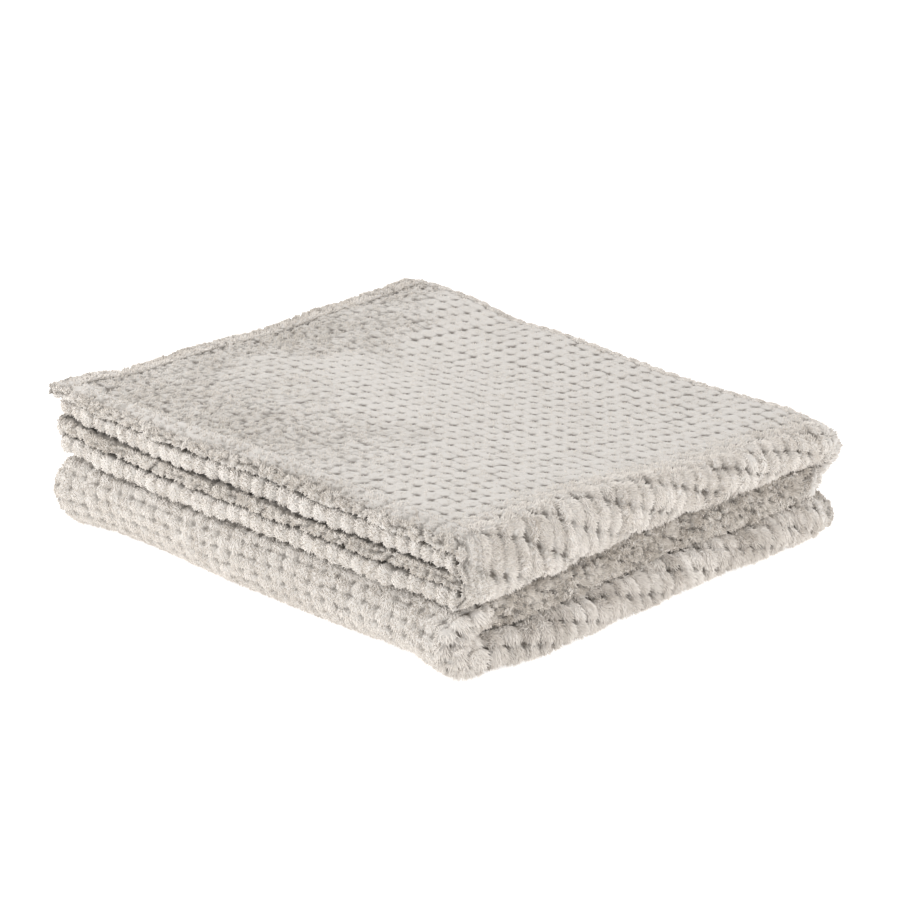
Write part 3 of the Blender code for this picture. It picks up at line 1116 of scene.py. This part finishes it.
def side_hem(body, start, end, level, up, ply):
    """The turned edge along one ply's free side."""
    count = round(abs(end - start) / 0.0020) + 1
    x = np.linspace(start, end, count)[:, None]
    ahead, off, face, side, length = rounded_band(HEM_EDGE - HEM_LINE, 0.0060, 9)
    ones = np.ones_like(x * ahead)
    out = 1.0 if ply else -1.0
    depth = ply * PLY_PITCH + PLY / 2 + out * off
    points = np.stack([x * ones, (HEM_LINE + ahead) * ones, (level + up * depth) * ones], axis=-1)
    normals = np.stack([0 * ones, face * ones, up * out * side * ones], axis=-1)
    s, t = (x - TURN_LINE) * ones, (FRONT_LINE - HEM_LINE - length) * ones
    curled, curl_dark = curls(length * ones, x * ones, 1.0, 61 + ply)
    woven, woven_dark = bobbles(s, t, 1.0, LEVEL_LEAN)
    nose = smooth(ahead, 0.006, 0.014) * ones
    relief = woven + (curled - woven) * nose + STAND
    # Painted shade in the hollows of the bobbles and between the curls.
    hollow = woven_dark + (curl_dark - woven_dark) * nose
    shown = shown_side(side, face, 0.22) if body == "top" and ply == 0 else 1.0 * (face > 0.05)
    marks = hem_marks(ones, length * ones, x * ones, hollow, 0.25 + 0.05 * nose, shown, 0.70, face)
    name = f"{body}_side_hem_{ply + 1}_cloth"
    return grid_mesh(name, raise_pile(points, normals, relief), marks, cloth_material())


class THROW_OT_stitches(bpy.types.Operator):
    """Sew the hems: a row along each side hem and round each end hem"""

    bl_idname = "throw.stitches"
    bl_label = "Stitches"

    def execute(self, context):
        for body, start, end, level, up in PANELS:
            for ply in (0, 1):
                node = f"{body}_side_stitches_{ply + 1}"
                low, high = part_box(node)
                x = np.linspace(start, end, 120)
                depth = ply * PLY_PITCH + PLY / 2 + (PLY / 2 if ply else -PLY / 2)
                y = np.full_like(x, (low.y + high.y) / 2)
                sew(node, body, np.stack([x, y, np.full_like(x, level + up * depth)], axis=-1))
        for body, level in (("top", TOP_LEVEL), ("bottom", BOTTOM_LEVEL)):
            node = f"{body}_end_stitches"
            low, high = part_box(node)
            y, depth, across, down, _, _ = whole_section(sampling(0.004), HEM_EDGE - PLY / 2)
            x = np.full_like(y, (low.x + high.x) / 2)
            sew(node, body, np.stack([x, y + across * PLY / 2, level - depth - down * PLY / 2], axis=-1))
        return {"FINISHED"}


def sew(node, body, points):
    """A row of stitches along a line of points, in place of a CAD node."""
    name = node + "_thread"
    line = bpy.data.meshes.new(name + "_line")
    line.from_pydata(settle(points).tolist(), [(k, k + 1) for k in range(len(points) - 1)], [])
    seam = add_to_scene(name + "_line", line)
    thread = bpy.data.materials.get("sewing_thread") or thread_material(
        bpy.context.scene.throw_colors.thread
    )
    row = worked_out(
        stitch_tree, seam, name, thread, Stitch_pitch=0.0060, Stitch_length=0.0048, Thread_width=0.0010
    )
    bpy.data.objects.remove(seam)
    bpy.data.meshes.remove(line)
    finish_piece(row, body + "_panel", "thread", node)


# For each piece of pile: the cloth it grows on, how many strands, and their share of the usual width.
PILE = (
    ("top_panel", 30000, 0.7),
    ("top_panel", 30000, 0.9),
    ("middle_panel", 20000, 1.0),
    ("bottom_panel", 24000, 1.0),
    ("lower_turn", 24000, 0.8),
    ("upper_turn", 24000, 0.8),
    ("top_end_hem", 24000, 0.9),
    ("bottom_end_hem", 12000, 0.9),
    ("top_side_hem_1", 9000, 0.9),
    ("top_side_hem_2", 4000, 0.9),
    ("middle_side_hem_1", 4000, 0.9),
    ("middle_side_hem_2", 4000, 0.9),
    ("bottom_side_hem_1", 4000, 0.9),
    ("bottom_side_hem_2", 4000, 0.9),
)
FIRST_SEED = 11

# For each stretch of the sheet: how long it lies flat, the hems sewn to it, and what it rests on.
SHEETS = {
    "top_panel": (TURN_LINE + END_LINE, ("end_hem", "side_hem_1", "side_hem_2"), "middle_panel"),
    "middle_panel": (PANEL_RUN, ("side_hem_1", "side_hem_2"), "bottom_panel"),
    "bottom_panel": (TURN_LINE + END_LINE, ("end_hem", "side_hem_1", "side_hem_2"), None),
    "upper_turn": (TURN_LENGTH / 2, (), "middle_panel"),
    "lower_turn": (TURN_LENGTH / 2, (), "bottom_panel"),
}


class THROW_OT_pile(bpy.types.Operator):
    """Brush up the pile: pointed strands all over the cloth that shows"""

    bl_idname = "throw.pile"
    bl_label = "Pile"

    def execute(self, context):
        sown = {}
        for number, (part, strands, width) in enumerate(PILE):
            cloth = bpy.data.objects[part + "_cloth"]
            grown = sown.setdefault(part, [])
            name = f"{part}_pile_{len(grown) + 1}"
            grown.append(sow(cloth, name, strands, width, FIRST_SEED + number))
            body = "middle" if "turn" in part else part.split("_")[0]
            finish_piece(grown[-1], body + "_panel", "hem" if "hem" in part else "cloth")
        for part, (run, hems, below) in SHEETS.items():
            sewn = list(sown[part])
            for hem in hems:
                edge = part.replace("panel", hem)
                sewn += [bpy.data.objects[edge + "_cloth"], *sown[edge]]
            bpy.data.objects[part + "_cloth"]
            [below + "_cloth"] if below else []
        return {"FINISHED"}


class THROW_OT_stage(bpy.types.Operator):
    """Set the floor, the lights and the camera"""

    bl_idname = "throw.stage"
    bl_label = "Stage"

    def execute(self, context):
        scene = context.scene
        scene.view_settings.view_transform = "Standard"
        place_camera(scene)
        lay_floor()
        world = bpy.data.worlds.new("studio")
        scene.world = world
        world.use_nodes = True
        background = world.node_tree.nodes["Background"]
        background.inputs["Color"].default_value = (1.0, 1.0, 1.0, 1.0)
        background.inputs["Strength"].default_value = 0.72
        hang_light("key", (-1.3, 0.9, 1.3), 22.0, 0.7)
        hang_light("front", (1.1, -2.0, 0.9), 23.0, 1.5)
        return {"FINISHED"}


def place_camera(scene):
    """A long lens from the front left, a little above the pile."""
    azimuth, elevation, roll = (math.radians(angle) for angle in (-44.2, 21.1, -1.29))
    target, distance = Vector((0.0364, 0.0334, 0.0376)), 2.263
    across = math.cos(elevation)
    back = Vector((math.sin(azimuth) * across, -math.cos(azimuth) * across, math.sin(elevation)))
    data = bpy.data.cameras.new("camera")
    data.sensor_width = 36.0
    data.lens = 120.0
    data.clip_start = 0.05
    data.clip_end = 60.0
    camera = bpy.data.objects.new("camera", data)
    scene.collection.objects.link(camera)
    scene.camera = camera
    camera.location = target + back * distance
    camera.rotation_mode = "QUATERNION"
    tilt = Matrix.Rotation(roll, 4, "Z").to_quaternion()
    camera.rotation_quaternion = (-back).to_track_quat("-Z", "Y") @ tilt


def lay_floor():
    """A plain pale floor that glows a little, so that it goes over into the background."""
    far = 12.0
    mesh = bpy.data.meshes.new("floor")
    corners = [(-far, -far, 0), (far, -far, 0), (far, far, 0), (-far, far, 0)]
    mesh.from_pydata(corners, [], [(0, 1, 2, 3)])
    paper, _, _ = new_material(
        "paper",
        Base_Color=(0.92, 0.92, 0.92, 1),
        Roughness=1.0,
        Emission_Color=(1, 1, 1, 1),
        Emission_Strength=0.60,
    )
    mesh.materials.append(paper)
    add_to_scene("floor", mesh)


def hang_light(name, place, power, size):
    """A square soft light that looks at the pile."""
    data = bpy.data.lights.new(name, "AREA")
    data.energy = power
    data.size = size
    light = bpy.data.objects.new(name, data)
    light.location = place
    light.rotation_mode = "QUATERNION"
    light.rotation_quaternion = (Vector((0, 0, 0.05)) - Vector(place)).to_track_quat("-Z", "Y")
    bpy.context.scene.collection.objects.link(light)


class THROW_PT_sidebar(bpy.types.Panel):
    """The throw's pieces and sizes"""

    bl_idname = "THROW_PT_sidebar"
    bl_label = "Folded throw"
    bl_space_type = "VIEW_3D"
    bl_region_type = "UI"
    bl_category = "Throw"

    def draw(self, context):
        for operator in OPERATORS:
            self.layout.operator(operator.bl_idname)
        for group in (context.scene.throw_sizes, context.scene.throw_colors):
            for name in type(group).__annotations__:
                self.layout.prop(group, name)


OPERATORS = (
    THROW_OT_panels,
    THROW_OT_turns,
    THROW_OT_hems,
    THROW_OT_stitches,
    THROW_OT_pile,
    THROW_OT_stage,
)
CLASSES = (ThrowSizes, ThrowColors, *OPERATORS, THROW_PT_sidebar)


def register():
    for item in CLASSES:
        bpy.utils.register_class(item)
    bpy.types.Scene.throw_sizes = PointerProperty(type=ThrowSizes)
    bpy.types.Scene.throw_colors = PointerProperty(type=ThrowColors)


def unregister():
    del bpy.types.Scene.throw_colors
    del bpy.types.Scene.throw_sizes
    for item in reversed(CLASSES):
        bpy.utils.unregister_class(item)


def main():
    register()
    bpy.ops.throw.panels()
    bpy.ops.throw.turns()
    bpy.ops.throw.hems()
    bpy.ops.throw.stitches()
    bpy.ops.throw.pile()
    bpy.ops.throw.stage()


if __name__ == "__main__":
    main()
